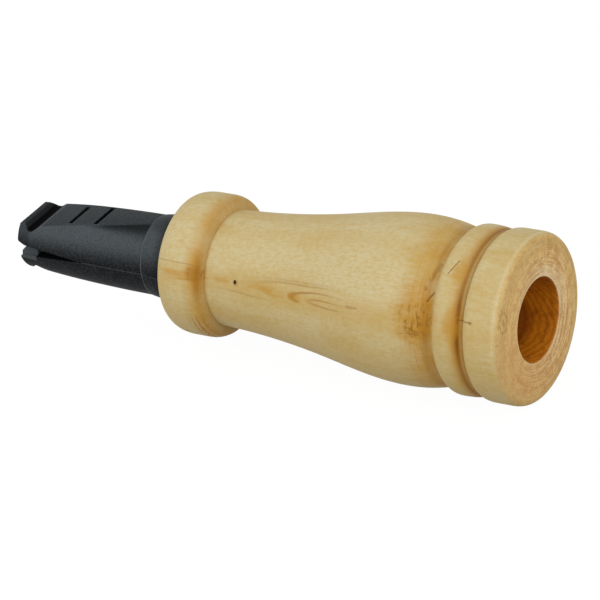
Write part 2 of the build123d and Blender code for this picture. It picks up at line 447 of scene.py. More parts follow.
def stretch_ends(size):
    """Where the barrel's stretches end along the call, from the lanyard groove to the end of the wood."""
    stretches = (
        size.ring_length,
        size.second_length,
        size.belly_length,
        size.taper_length,
        size.waist_length,
        size.neck_length,
        size.bead_length,
    )
    return -np.cumsum(stretches)


def without_repeats(points):
    """The points with each that repeats the one before it left out."""
    points = np.array(points)
    moved = np.linalg.norm(np.diff(points, axis=0), axis=1) > SAME_POINT
    return points[np.concatenate(([True], moved))]


def draw_chain(name, points):
    """Adds an object that is one chain of edges through the points, in edit mode and all selected."""
    bpy.ops.object.select_all(action="DESELECT")
    bpy.ops.mesh.primitive_plane_add(size=MM)
    piece = bpy.context.object
    piece.name = piece.data.name = name
    bpy.ops.object.mode_set(mode="EDIT")
    bpy.ops.mesh.select_all(action="SELECT")
    bpy.ops.mesh.merge(type="CENTER")
    points = [Vector(point) for point in points]
    bpy.ops.transform.translate(value=points[0])
    for here, there in zip(points, points[1:]):
        bpy.ops.mesh.extrude_vertices_move(TRANSFORM_OT_translate={"value": there - here})
    bpy.ops.mesh.select_all(action="SELECT")
    return piece


def close_mesh():
    """Merges doubles, points all faces outwards and leaves edit mode."""
    bpy.ops.mesh.select_all(action="SELECT")
    bpy.ops.mesh.remove_doubles(threshold=SAME_VERTEX)
    bpy.ops.mesh.normals_make_consistent(inside=False)
    bpy.ops.object.mode_set(mode="OBJECT")


def lathe(name, outline):
    """Spins an outline of places along the call and radii into a closed turned piece."""
    piece = draw_chain(name, [(x, 0, r) for x, r in outline])
    bpy.ops.mesh.spin(steps=SPIN_STEPS, angle=math.tau, center=(0, 0, 0), axis=CALL_AXIS)
    close_mesh()
    return piece


def prism(name, outline, half_width):
    """Extrudes a side view of places along the call and heights to both sides of the middle plane."""
    piece = draw_chain(name, [(x, -half_width, z) for x, z in outline])
    bpy.ops.mesh.edge_face_add()
    bpy.ops.mesh.extrude_region_move(TRANSFORM_OT_translate={"value": (0, 2 * half_width, 0)})
    close_mesh()
    return piece


def add_box(place, sides, tilt=0):
    """Adds a box about a place, tilted about the axis across the call."""
    bpy.ops.object.select_all(action="DESELECT")
    bpy.ops.mesh.primitive_cube_add(size=1, location=place, rotation=(0, tilt, 0), scale=sides)
    bpy.ops.object.transform_apply()
    return bpy.context.object


def cut(piece, tool, operation="DIFFERENCE"):
    """Works a tool's volume into a piece and throws the tool away."""
    bpy.context.view_layer.objects.active = piece
    step = piece.modifiers.new(operation.title(), "BOOLEAN")
    step.operation = operation
    step.solver = "EXACT"
    step.object = tool
    bpy.ops.object.modifier_apply(modifier=step.name)
    bpy.data.objects.remove(tool)


def pick_vertices(piece, wanted):
    """Selects the vertices whose places are wanted and stays in edit mode."""
    bpy.ops.object.mode_set(mode="EDIT")
    bpy.ops.mesh.select_all(action="DESELECT")
    bpy.ops.object.mode_set(mode="OBJECT")
    for vertex in piece.data.vertices:
        vertex.select = wanted(vertex.co)
    bpy.ops.object.mode_set(mode="EDIT")


def select_only(piece):
    """Makes a piece the only selected one and the active one."""
    bpy.ops.object.select_all(action="DESELECT")
    piece.select_set(True)
    bpy.context.view_layer.objects.active = piece


class BIRDCALL_OT_turn_barrel(bpy.types.Operator):
    """Turns the wooden barrel with its rings, belly and bead, and drills its bores"""

    bl_idname = "bird_call.turn_barrel"
    bl_label = "Turn Barrel"

    def outline(self, size):
        """Half section of the barrel, from the bore's mouth round the outside and back along the bore."""
        groove, second_groove, belly, taper, waist, neck, end = stretch_ends(size)
        socket_floor = -size.bore_depth - size.throat_length
        cone = (size.bore_r - size.throat_r) / math.tan(size.drill_point / 2)
        shoulder = groove + size.ring_shoulder
        second_shoulder = second_groove + size.second_shoulder
        soft = size.mouth_break
        stretches = [
            bezier((-soft, size.bore_r), (0, size.bore_r), (0, size.bore_r + soft), 5),
            bezier((0, size.face_r), (0, size.ring_r), (-size.face_edge, size.ring_r), 14),
            bezier((shoulder, size.ring_r), (groove, size.ring_r), (groove, size.groove_r), 16),
            bezier(
                (groove, size.groove_r),
                (groove - size.second_lean, size.second_r),
                (second_shoulder, size.second_r),
                18,
            ),
            bezier(
                (second_shoulder, size.second_r),
                (second_groove, size.second_r),
                (second_groove, size.second_groove_r),
                16,
            ),
            smooth_through(
                [
                    (second_groove, size.second_groove_r),
                    (belly, size.belly_r),
                    (taper, size.taper_r),
                    (waist, size.waist_r),
                    (neck, size.neck_r),
                ],
                56,
            ),
            bezier((neck, size.neck_r), (neck, size.bead_r), (neck - size.bead_flank, size.bead_r), 16),
            bezier((end + size.bead_end, size.bead_r), (end, size.bead_r), (end, size.end_r), 18),
            bezier((end, size.socket_r + soft), (end, size.socket_r), (end + soft, size.socket_r), 5),
            [
                (socket_floor, size.socket_r),
                (socket_floor, size.throat_r),
                (-size.bore_depth - cone, size.throat_r),
            ],
            np.linspace((-size.bore_depth, size.bore_r), (-soft, size.bore_r), 14),
        ]
        return without_repeats(np.concatenate(stretches))

    def execute(self, context):
        settings = context.scene.bird_call
        barrel = lathe("barrel_wood", self.outline(settings.barrel))
        bpy.ops.object.shade_smooth_by_angle(angle=WOOD_SMOOTH)
        barrel.data.materials.append(turned_wood(settings.finish, settings.barrel))
        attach(barrel, "barrel")
        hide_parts("barrel")
        return {"FINISHED"}


class BIRDCALL_OT_mould_halves(bpy.types.Operator):
    """Moulds the upper and the lower half of the mouthpiece"""

    bl_idname = "bird_call.mould_halves"
    bl_label = "Mould Halves"

    def blank_outline(self, size):
        """Half section of the round blank that both halves are cut from."""
        root = (size.collar_edge, size.arm_root_r)
        middle = ((size.collar_edge + size.tip) / 2, size.arm_middle_r)
        arm = arc_through(root, middle, (size.tip, size.arm_tip_r), 41)[:-1]
        rim = bezier(
            (size.tip + size.tip_round, size.arm_tip_r + size.tip_swell),
            (size.tip, size.arm_tip_r),
            (size.tip, size.arm_tip_r - size.tip_round),
            6,
        )
        return np.concatenate(
            [
                [
                    (size.spigot_end, 0),
                    (size.spigot_end, size.spigot_r - size.spigot_chamfer),
                    (size.spigot_end - size.spigot_chamfer, size.spigot_r),
                    (size.collar_foot, size.spigot_r),
                    (size.collar_foot, size.collar_foot_r),
                    (size.collar_edge, size.collar_edge_r),
                ],
                arm,
                rim,
                [(size.tip, 0)],
            ]
        )

    def side_view(self, size):
        """Side view of the upper half: the flat, the bite groove, the lip and the jaw's inner face."""
        tip = size.tip
        flat_front = tip + size.flat_front_from_tip
        flat = arc_through(
            (size.collar_edge, size.flat_root),
            ((size.collar_edge + flat_front) / 2, size.flat_middle),
            (flat_front, size.flat_front),
            25,
        )
        bite = tip + size.bite_from_tip
        above = size.collar_foot_r + size.arm_root_r
        past_tip = tip - TIP_OVERCUT
        nose = self.nose_z(size)
        lip = rounded(
            [
                flat[-1],
                (bite + size.bite_width / 2, size.bite_height),
                (bite - size.bite_width / 2, size.bite_height),
                (tip + size.lip_thickness, size.lip_height),
                (tip + size.lip_chamfer, size.lip_height),
                (past_tip, size.lip_height - size.lip_chamfer),
                (past_tip, nose + size.nose_height),
            ],
            size.lip_round,
        )
        rest = [
            (tip + size.nose_length, nose),
            (tip + size.flex_from_tip, 0),
            (size.spigot_end + OVERCUT, 0),
            (size.spigot_end + OVERCUT, above),
            (size.collar_edge, above),
        ]
        return flat, np.concatenate([flat[:-1], lip, rest])

    def nose_z(self, size):
        """Half the gap between the jaws, at the rear of the chamfers on their noses."""
        return size.jaw_gap / 2 * (1 - size.nose_length / size.flex_from_tip)

    def cut_slots(self, half, flat, size):
        """Cuts the cross slots square to the flat."""
        for number in range(size.slot_count):
            x = size.tip + size.flat_front_from_tip + size.slot_from_front + number * size.slot_pitch
            after = int(np.argmax(flat[:, 0] < x))
            (x0, z0), (x1, z1) = flat[after - 1], flat[after]
            z = z0 + (z1 - z0) * (x - x0) / (x1 - x0)
            tilt = math.pi - math.atan2(z1 - z0, x1 - x0)
            cut(half, add_box((x, 0, z), (size.slot_width, size.slot_length, 2 * size.slot_depth), tilt))

    def cut_reed_seat(self, half, size, reed):
        """Cuts the seat of the clamped reed and the room in which its tongue beats."""
        flex = size.tip + size.flex_from_tip
        front = reed.front - reed.end_room
        slope = size.jaw_gap / 2 / size.flex_from_tip
        outline = [
            (reed.rear, -OVERCUT),
            (reed.rear, reed.thickness / 2),
            (flex, reed.thickness / 2),
            (flex, reed.relief),
            (front, reed.relief + slope * (flex - front)),
            (front, -OVERCUT),
        ]
        cut(half, prism("seat", outline, reed.width / 2 + reed.side_room))

    def peg_places(self, size, reed):
        """Places of the four pegs beside the reed, two in the spigot and two in the arms."""
        flex = size.tip + size.flex_from_tip
        side = (reed.width / 2 + reed.side_room + size.spigot_r) / 2
        rows = ((size.spigot_end + size.collar_foot) / 2, (size.collar_edge + flex) / 2)
        return [(x, y) for x in rows for y in (-side, side)]

    def peg(self, place, radius, height):
        """One peg or peg hole, as high above the parting plane as it is deep below it."""
        bpy.ops.object.select_all(action="DESELECT")
        bpy.ops.mesh.primitive_cylinder_add(
            vertices=24, radius=radius, depth=2 * height, location=(*place, 0)
        )
        bpy.ops.object.transform_apply()
        return bpy.context.object

    def cut_channel(self, half, size, reed):
        """Cuts the sound channel under the reed, with a rounded bottom."""
        front = reed.front - reed.end_room
        rear = size.spigot_end + OVERCUT
        channel = add_box(
            ((front + rear) / 2, 0, 0), (rear - front, size.channel_width, 2 * size.channel_depth)
        )
        bpy.ops.object.mode_set(mode="EDIT")
        bpy.ops.mesh.select_mode(type="EDGE")
        bpy.ops.mesh.select_all(action="DESELECT")
        bpy.ops.object.mode_set(mode="OBJECT")
        for edge in channel.data.edges:
            one, two = (channel.data.vertices[v].co for v in edge.vertices)
            edge.select = abs(one.x - two.x) > (rear - front) / 2
        bpy.ops.object.mode_set(mode="EDIT")
        bpy.ops.mesh.bevel(offset=size.channel_round, segments=5)
        bpy.ops.mesh.select_mode(type="VERT")
        close_mesh()
        cut(half, channel)

    def add_tooth(self, half, size):
        """Adds the tooth behind the lower jaw's tip."""
        tooth_front = size.tip + size.tooth_from_tip
        tooth_rear = tooth_front + size.tooth_length
        root = -self.nose_z(size) - size.nose_height
        outline = [
            (tooth_rear, root),
            (tooth_rear, size.tooth_top),
            (tooth_front, size.tooth_top),
            (tooth_front, root),
        ]
        tooth = prism("tooth", outline, size.tooth_foot)
        pick_vertices(tooth, lambda place: place.z > 0)
        narrow = size.tooth_crest / size.tooth_foot
        bpy.ops.transform.resize(value=(1, narrow, 1), center_override=(0, 0, 0))
        pick_vertices(tooth, lambda place: place.z > 0 and place.x < (tooth_front + tooth_rear) / 2)
        bpy.ops.mesh.bevel(offset=size.tooth_nose, segments=1)
        close_mesh()
        cut(half, tooth, "UNION")

    def soften(self, half, size):
        """Rounds every edge as the mould leaves it, and shades the faces smooth."""
        select_only(half)
        bpy.ops.object.mode_set(mode="EDIT")
        bpy.ops.mesh.select_all(action="SELECT")
        bpy.ops.mesh.remove_doubles(threshold=SAME_CORNER)
        bpy.ops.object.mode_set(mode="OBJECT")
        edge = half.modifiers.new("Edge Round", "BEVEL")
        edge.width = size.edge_round
        edge.segments = 2
        edge.limit_method = "ANGLE"
        edge.angle_limit = MOULD_EDGE
        bpy.ops.object.modifier_apply(modifier=edge.name)
        bpy.ops.object.shade_smooth_by_angle(angle=PLASTIC_SMOOTH)

    def execute(self, context):
        settings = context.scene.bird_call
        size, reed = settings.mouthpiece, settings.reed
        upper = lathe("upper_moulding", self.blank_outline(size))
        flat, side = self.side_view(size)
        cut(upper, prism("side", side, 2 * size.collar_foot_r), "INTERSECT")
        self.cut_slots(upper, flat, size)
        self.cut_reed_seat(upper, size, reed)

        select_only(upper)
        bpy.ops.object.duplicate()
        lower = bpy.context.object
        lower.name = lower.data.name = "lower_moulding"
        bpy.ops.object.mode_set(mode="EDIT")
        bpy.ops.mesh.select_all(action="SELECT")
        bpy.ops.transform.resize(value=(1, 1, -1), center_override=(0, 0, 0))
        close_mesh()

        for place in self.peg_places(size, reed):
            cut(upper, self.peg(place, size.peg_r + size.peg_room, size.peg_height))
            cut(lower, self.peg(place, size.peg_r, size.peg_height), "UNION")
        self.cut_channel(lower, size, reed)
        self.add_tooth(lower, size)

        plastic = black_plastic(settings.finish, size)
        for half, jaw, nodes in (
            (upper, "upper_jaw", ("upper_spigot_half", "upper_bite_jaw")),
            (lower, "lower_jaw", ("lower_spigot_half", "lower_bite_jaw")),
        ):
            self.soften(half, size)
            keep_rest_place(half)
            half.data.materials.append(plastic)
            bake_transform(half)
            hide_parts(*nodes)
        return {"FINISHED"}


class BIRDCALL_OT_cut_reed(bpy.types.Operator):
    """Cuts the reed from thin film, with a rounded free tip"""

    bl_idname = "bird_call.cut_reed"
    bl_label = "Cut Reed"

    def execute(self, context):
        settings = context.scene.bird_call
        reed, size = settings.reed, settings.mouthpiece
        flex = size.tip + size.flex_from_tip
        corners = [
            (reed.rear, -reed.width / 2, 0),
            (reed.front, -reed.width / 2, 0),
            (reed.front, reed.width / 2, 0),
            (reed.rear, reed.width / 2, 0),
        ]
        strip = draw_chain("reed_strip", corners)
        bpy.ops.mesh.edge_face_add()
        pick_vertices(strip, lambda place: place.x < flex)
        bpy.ops.mesh.bevel(offset=reed.tip_round, segments=8, affect="VERTICES")
        for x in np.linspace(reed.front, reed.rear, 42)[1:-1]:
            bpy.ops.mesh.select_all(action="SELECT")
            bpy.ops.mesh.bisect(plane_co=(x, 0, 0), plane_no=CALL_AXIS)
        bpy.ops.mesh.select_all(action="SELECT")
        bpy.ops.mesh.normals_make_consistent(inside=False)
        bpy.ops.object.mode_set(mode="OBJECT")
        wall = strip.modifiers.new("Film", "SOLIDIFY")
        wall.thickness = reed.thickness
        wall.offset = 0
        bpy.ops.object.modifier_apply(modifier=wall.name)
        bpy.ops.object.shade_smooth_by_angle(angle=FILM_SMOOTH)
        keep_rest_place(strip)
        strip.data.materials.append(reed_film(settings.finish))
        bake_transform(strip)
        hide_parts("reed_tail", "reed_tongue")
        return {"FINISHED"}


class BIRDCALL_OT_set_stage(bpy.types.Operator):
    """Lays the pale floor, hangs the soft light and stands the camera at the photograph's angle"""

    bl_idname = "bird_call.set_stage"
    bl_label = "Set Stage"

    def execute(self, context):
        settings = context.scene.bird_call
        stage = settings.stage
        bpy.ops.object.select_all(action="DESELECT")
        bpy.ops.mesh.primitive_plane_add(size=FLOOR_SIZE, location=(0, 0, -settings.barrel.ring_r))
        floor = bpy.context.object
        floor.name = "floor"
        floor.data.materials.append(pale_floor())

        turn, rise = stage.azimuth, stage.elevation
        back = Vector(
            (math.cos(rise) * math.sin(turn), -math.cos(rise) * math.cos(turn), math.sin(rise))
        )
        right = Vector((math.cos(turn), math.sin(turn), 0))
        up = back.cross(right)
        right, up = (
            math.cos(stage.roll) * right + math.sin(stage.roll) * up,
            math.cos(stage.roll) * up - math.sin(stage.roll) * right,
        )
        aim = Vector((stage.aim_x, 0, stage.aim_z))
        bpy.ops.object.camera_add()
        camera = bpy.context.object
        camera.name = "camera"
        camera.data.sensor_width = SENSOR_WIDTH
        camera.data.lens = stage.lens
        camera.matrix_world = Matrix.Translation(aim + stage.distance * back) @ (
            Matrix((right, up, back)).transposed().to_4x4()
        )
        context.scene.camera = camera

        for name, away, power in (
            ("key", Vector(KEY_AWAY), stage.key_power),
            ("side", Vector(SIDE_AWAY), stage.side_power),
        ):
            bpy.ops.object.light_add(type="AREA", location=aim + away)
            lamp = bpy.context.object
            lamp.name = name
            lamp.data.shape = "DISK"
            lamp.data.size = LAMP_SIZE
            lamp.data.energy = power
            lamp.rotation_euler = away.to_track_quat("Z", "Y").to_euler()

        set_surroundings(context.scene, stage.fill)
        context.scene.view_settings.view_transform = "Standard"
        return {"FINISHED"}


def seen_by_camera(tree):
    """1 for rays from the camera and for those that shiny or clear surfaces send on, otherwise 0."""
    path = tree.nodes.new("ShaderNodeLightPath")
    rays = [Socket(tree, path.outputs[f"Is {kind} Ray"]) for kind in ("Camera", "Glossy", "Transmission")]
    return rays[0].largest(rays[1]).largest(rays[2])


def pale_floor():
    """A white floor that keeps a faint shadow of the call."""
    floor = bpy.data.materials.new("pale_floor")
    floor.use_nodes = True
    tree = floor.node_tree
    shader = tree.nodes["Principled BSDF"]
    shader.inputs["Base Color"].default_value = FLOOR_GREY
    shader.inputs["Roughness"].default_value = 0.9
    shader.inputs["Specular IOR Level"].default_value = 0
    seen = seen_by_camera(tree)
    glow = seen.node("Emission", None, {"Color": WHITE, "Strength": FLOOR_GLOW})
    lit = Socket(tree, shader.outputs[0])
    mixed = seen.node("MixShader", None, {0: seen * FLOOR_GLOW_SHARE, 1: lit, 2: glow})
    tree.links.new(mixed.socket, tree.nodes["Material Output"].inputs["Surface"])
    return floor


def set_surroundings(scene, fill):
    """A white room: plain white where it is seen, and a soft fill light from all sides."""
    room = bpy.data.worlds.new("white_room")
    scene.world = room
    room.use_nodes = True
    tree = room.node_tree
    seen = seen_by_camera(tree)
    level = fill + seen * (1 - fill)
    tree.links.new(level.socket, tree.nodes["Background"].inputs["Strength"])
    tree.nodes["Background"].inputs["Color"].default_value = WHITE


class BarrelPlaces:
    """Places on the barrel: along the call in millimetres, and round it in degrees from the near side up."""

    MM_TO_A_DEGREE = 0.28

    def __init__(self, place, bore_r):
        self.x, self.y, self.z = parts_of(place)
        self.radius = (self.y * self.y + self.z * self.z) ** 0.5
        waver = noise(place, (0.1, 0.2, 0.2), detail=1) - 0.5
        turn = self.z.math("ARCTAN2", self.z, -self.y) * math.degrees(1)
        self.wavy = turn + waver * 4
        self.ragged = noise(place, (0.35, 1.3, 1.3), detail=3, roughness=0.6) - 0.5
        self.outside = self.radius.ease(bore_r + 1.2, bore_r + 1.7)

    def spot(self, x, turn, half_x, half_turn, core=0.0, ragged=1.6):
        """A soft spot on the outside with a ragged edge, 1 within its core and 0 past its half sizes."""
        away = ((self.x - x) / half_x) ** 2 + ((self.wavy - turn) / half_turn) ** 2
        return (away + self.ragged * ragged).ease(1, core) * self.outside

    def band(self, x, below, above, ragged=0.0):
        """A band all round, 1 at x and 0 at the given distances below and above it."""
        away = ((x - self.x) / below).largest((self.x - x) / above)
        return (away + self.ragged * ragged).ease(1, 0) * self.outside

    def loop(self, x, turn, left, right, half_turn, width):
        """A ring line round a centre, with its own half length on each side; width is a share of its size."""
        along = ((x - self.x) / left).largest((self.x - x) / right)
        across = (self.wavy - turn) / half_turn
        away = (along * along + across * across) ** 0.5
        return abs(away - 1).ease(width, 0) * self.outside

    def stroke(self, start, end, width):
        """A thin line from one place to another, of the given half width in millimetres."""
        step_x, step_turn = end[0] - start[0], (end[1] - start[1]) * self.MM_TO_A_DEGREE
        from_x = self.x - start[0]
        from_turn = (self.wavy - start[1]) * self.MM_TO_A_DEGREE
        share = (from_x * step_x + from_turn * step_turn) / (step_x**2 + step_turn**2)
        share = share.clamp()
        miss_x, miss_turn = from_x - share * step_x, from_turn - share * step_turn
        away = (miss_x * miss_x + miss_turn * miss_turn) ** 0.5 + self.ragged * width * 0.8
        return away.ease(width, width * 0.2) * self.outside


def sine(value, wavelength):
    """A wave from -1 to 1 with the given wavelength."""
    return value.math("SINE", value * (math.tau / wavelength))


def turned_wood(tones, size):
    """Pale turned wood with loops, a pin knot, warm streaks, grooves that are stained and painted with shade
    and bounce light, an end-grain bell face with a painted highlight on its rim, and painted shade in the
    bore.
    """
    finish, place, shader = new_finish("turned_wood")
    bore_r = size.bore_r / MM
    groove, second_groove, *_, bead_root, _ = (stretch_ends(size) / MM).tolist()
    on = BarrelPlaces(place, bore_r)
    x, radius = on.x, on.radius
    normal = place.node("TexCoord", None, None, output=1)
    end_on = abs(parts_of(normal)[0])

    # The pith runs just under the near side and leaves the wood at the second groove
    pith_turn, pith_at_face, pith_slope = math.radians(21), 13.75, -0.091
    pith_out = pith_at_face + pith_slope * x
    pith_y = on.y + pith_out * math.cos(pith_turn)
    pith_z = on.z - pith_out * math.sin(pith_turn)
    bend = noise(place, (0.08, 0.22, 0.22), detail=3) * 2.5
    ring = (pith_y * pith_y + pith_z * pith_z) ** 0.5 + bend
    ring_line = sine(ring, 0.95).ease(0.2, 1.0)

    clouds = noise(place, (0.06, 0.16, 0.16), detail=3)
    streaks = noise(place, (0.04, 0.8, 0.8), detail=4, roughness=0.6)
    fibres = noise(place, (0.8, 3.4, 3.4), detail=3, roughness=0.65)
    flecks = noise(place, (1.1, 1.1, 1.1), detail=3, roughness=0.6)
    mottle = noise(place, (0.5, 0.5, 0.5), detail=5, roughness=0.7)
    turning = noise(place, (2.4, 0.06, 0.06), detail=2)

    colour = paint((clouds + on.ragged * 0.3).ease(0.28, 0.66), tones.straw, tones.pale)
    pale_side = abs(on.wavy - 49).ease(24, 4) * x.ease(-20, -32)
    colour = coats(
        colour,
        (pale_side * on.outside * 0.9, tones.pale),
        (streaks.ease(0.48, 0.8) * 0.32, tones.honey),
        (fibres.ease(0.42, 0.7) * 0.45, tones.honey),
        (flecks.ease(0.48, 0.72) * 0.28, tones.honey),
        (flecks.ease(0.5, 0.3) * 0.4, tones.pale),
        (ring_line * 0.08, tones.honey),
        (turning.ease(0.5, 0.8) * 0.16, tones.honey),
    )
    warm_side = abs(on.wavy - 17).ease(17, 2) + abs(on.wavy - 71).ease(11, 2) * 0.45
    warm_side = warm_side + on.wavy.ease(8, -20) * 0.9
    warm_side = warm_side + on.spot(-3.2, 46, 4.5, 24, ragged=1.0) * 0.8
    colour = paint(warm_side.clamp() * on.outside * 0.36, colour, tones.honey)

    # Stain in the hollows, partly painted light: the amber, brown and burnt bands by the grooves and the
    # bead's root also paint their shade and the warm light bounced between their walls
    patchy = noise(place, (0.22, 0.3, 0.3), detail=3).ease(0.3, 0.7)
    knot_side = abs(on.wavy - 18).ease(30, 5)
    valley = on.band(bead_root - 0.6, 3.4, 1.4, ragged=0.5)
    past_groove = x.ease(second_groove - 0.05, second_groove - 0.75)
    second = on.band(second_groove - 0.65, 8.6, 0.6, ragged=0.6) * past_groove
    lanyard = on.band(groove - 0.8, 3.0, 1.2, ragged=0.4)
    colour = coats(
        colour,
        (valley * (0.42 + patchy * 0.3 + knot_side * 0.3), tones.amber),
        (second * (0.4 + patchy * 0.4 + knot_side * 0.2), tones.amber),
        (lanyard * (0.65 + knot_side * 0.25), tones.amber),
        (second * turning.ease(0.45, 0.65) * 0.22, tones.brown),
        (on.band(bead_root - 0.6, 1.2, 0.7) * (0.12 + knot_side * 0.4), tones.brown),
        (on.band(second_groove - 1.45, 1.6, 0.7) * (0.2 + knot_side * 0.35), tones.brown),
        (on.band(groove - 1.0, 1.5, 0.7) * (0.45 + knot_side * 0.35), tones.brown),
        (on.band(groove - 0.9, 0.7, 0.5) * (0.4 + knot_side * 0.4), tones.burnt),
    )
    under_bead = sine(x + on.ragged * 0.8, 0.95).ease(0, 1) * on.band(bead_root - 1.8, 2.6, 1.8)
    colour = paint(under_bead * on.wavy.ease(-10, -26) * 0.6, colour, tones.burnt)

    # Loops on the taper, where a ring only just reaches the surface
    upper = on.wavy.ease(17, 22)
    outer_loop = on.loop(-37, 19, 19, 15, 10.6, 0.13) + on.loop(-38, 19, 22, 15, 12.6, 0.11) * 0.6
    outer_loop = outer_loop * upper * on.band(-43, 18, 13)
    lower_line = on.stroke((-65, 12.5), (-47, 8.5), 0.4) * on.band(-56, 10, 9)
    thick_end = on.spot(-44.4, 18.2, 2.2, 5.2, ragged=0.5)
    second_loop = on.loop(-36.5, 18.8, 8.6, 9, 6.3, 0.17)
    second_loop = second_loop * (thick_end * 1.5 + upper * on.band(-41.5, 7, 11)).clamp()
    inner_loop = on.loop(-36.5, 17.6, 4.8, 6, 2.5, 0.42) * on.band(-38, 5, 8)
    dash = on.stroke((-31.8, 20.2), (-29.6, 20.6), 0.45)
    colour = coats(
        colour,
        (outer_loop.clamp() * 0.4, tones.brown),
        (lower_line * 0.3, tones.brown),
        (second_loop * 0.68, tones.brown),
        (thick_end * 0.45, tones.amber),
        (inner_loop * 0.58, tones.brown),
        (dash * 0.4, tones.brown),
    )

    # Pin knot, and the warm smears that trail from it
    smears = on.spot(-61.8, 20, 2.6, 4.2, ragged=2.2) + on.spot(-51.5, 19.6, 4.2, 4.0, ragged=2.2)
    smears = smears + on.spot(-49.5, 15.6, 3.4, 2.2, ragged=2.0)
    knot = on.spot(-58.5, 19.5, 0.36, 2.6, core=0.5, ragged=0.6)
    colour = coats(
        colour,
        (smears.clamp() * 0.5, tones.amber),
        (on.spot(-58.4, 19.2, 0.8, 3.6) * 0.4, tones.brown),
        (knot, tones.knot),
    )

    # Streaks of the bead
    bead_streak = on.spot(-70, 19.5, 5.6, 4.8, ragged=2.0) * streaks.ease(0.25, 0.6)
    bead_patch = on.spot(-66.9, 22, 1.9, 9, ragged=1.6)
    bead_line = on.stroke((-75, 30.5), (-66, 29.5), 0.25)
    colour = coats(
        colour,
        (bead_streak * 0.8, tones.amber),
        (bead_patch * (0.4 + turning.ease(0.35, 0.75) * 0.25), tones.brown),
        (bead_line * 0.4, tones.brown),
    )

    # Curly grain where the pith leaves the wood, and the cracks by the grooves
    torn_up = noise(place, (1.5, 0.5, 0.5), detail=4, roughness=0.65, distortion=0.6)
    curl = on.spot(-17.0, 19, 4.2, 17, ragged=1.6)
    curl_end = on.spot(-17.8, 10.5, 1.9, 5.2, ragged=2.4)
    colour = coats(
        colour,
        (on.spot(-17.4, 24, 5.6, 26, ragged=1.2) * 0.45, tones.amber),
        (on.spot(-17.8, 58, 3.6, 16, ragged=1.4) * 0.45, tones.honey),
        (on.spot(-17.2, 86, 3.4, 12, ragged=1.4) * 0.4, tones.honey),
        (curl * torn_up.ease(0.46, 0.62) * 0.8, tones.curl),
        (curl_end * flecks.ease(0.42, 0.6) * 0.7, tones.curl),
        (on.spot(-10.0, 58, 1.9, 11, ragged=1.2) * 0.55, tones.amber),
        (on.spot(-9.7, 20, 2.4, 14, ragged=1.2) * 0.55, tones.amber),
    )
    rim_streak = on.stroke((-14.9, 62), (-15.7, 50), 0.7) + on.stroke((-15.6, 52), (-16.2, 41), 0.45)
    cracks = on.stroke((-10.9, 64), (-12.1, 54.5), 0.2) + on.stroke((-14.5, 40.5), (-15.5, 33), 0.22)
    cracks = cracks.clamp()
    ring_dash = on.stroke((-8.6, 24.5), (-5.4, 23.8), 0.2) + on.spot(-5.5, 23.6, 0.5, 1.6, ragged=0.6) * 0.8
    ring_dash = ring_dash.clamp()
    colour = coats(
        colour,
        (rim_streak.clamp() * torn_up.ease(0.35, 0.6) * 0.5, tones.curl),
        (cracks * 0.65, tones.burnt),
        (ring_dash * 0.58, tones.burnt),
    )

    # Bell face: mottled end grain, tool marks round the bore, a swirl at the pith and torn fibres
    face = x.ease(-1.5, -0.4) * end_on.ease(0.3, 0.85) * radius.ease(bore_r, bore_r + 0.2)
    specks = noise(place, (3.0, 3.0, 3.0), detail=2)
    polar = place.node("CombineXYZ", None, {0: on.y / radius * 1.7, 1: on.z / radius * 1.7, 2: radius * 2.1})
    arcs = noise(polar, (1, 1, 1), detail=3, roughness=0.6)
    far_half = on.y.ease(-9, 6)
    outer_upper = radius.ease(10.5, 13) * (on.y * 0.6 + on.z * 0.8).ease(2, 10)
    upper_right = (on.y * 0.6 + on.z * 0.8).ease(-2, 9)
    lower_right = (on.y * 0.8 - on.z * 0.6).ease(-4, 6)
    lower_left = (on.y * -0.6 - on.z * 0.8).ease(1, 11)
    end_colour = paint(mottle.ease(0.42, 0.62) * (0.4 + far_half * 0.2), tones.end_grain, tones.end_dark)
    darker = (0.3 + far_half * 0.5) * (1 - outer_upper * 0.7)
    end_colour = coats(
        end_colour,
        (arcs.ease(0.5, 0.62) * darker, tones.end_dark),
        (arcs.ease(0.46, 0.36) * far_half * 0.5, tones.end_torn),
        (lower_left * 0.25, tones.end_dark),
        (radius.ease(12, 15.5) * 0.35, tones.straw),
        (radius.ease(11, 14.5) * upper_right * 0.2, tones.honey),
        (radius.ease(12.5, 8.5) * upper_right * 0.25, tones.end_torn),
    )
    swirl_away = ((on.y + 12.4) ** 2 + ((on.z - 6.3) * 0.65) ** 2) ** 0.5 + on.ragged * 2.2
    swirl = swirl_away.ease(2.0, 1.3) * sine(swirl_away, 1.05).ease(-0.2, 0.8)
    end_colour = paint(swirl * 0.42, end_colour, tones.brown)
    torn = radius.ease(13.5, 9.0) * specks.ease(0.52, 0.68) * lower_right
    end_colour = paint(specks.ease(0.46, 0.32) * 0.65, end_colour, tones.end_dark)
    end_colour = paint(torn * 0.75, end_colour, tones.end_torn)
    colour = paint(face, colour, end_colour)
    # Painted highlight along the upper part of the rounded rim between the side and the bell face
    rim_highlight = abs(end_on - 0.32).ease(0.22, 0) * x.ease(-2.2, -1.6) * on.z.ease(-4, 8)
    colour = paint(rim_highlight * 0.22, colour, tones.end_torn)

    # Bores: darker wood, with rings that show as nested arches, and painted shade further in and over the
    # upper part of the bore
    within = radius.ease(bore_r + 0.3, bore_r + 0.05)
    far_turn = on.y.math("ARCTAN2", -on.z, on.y) * math.degrees(1)
    arch = x + ((far_turn - 50) / 38) ** 2 * 1.8 + on.ragged * 1.4 + bend * 0.8
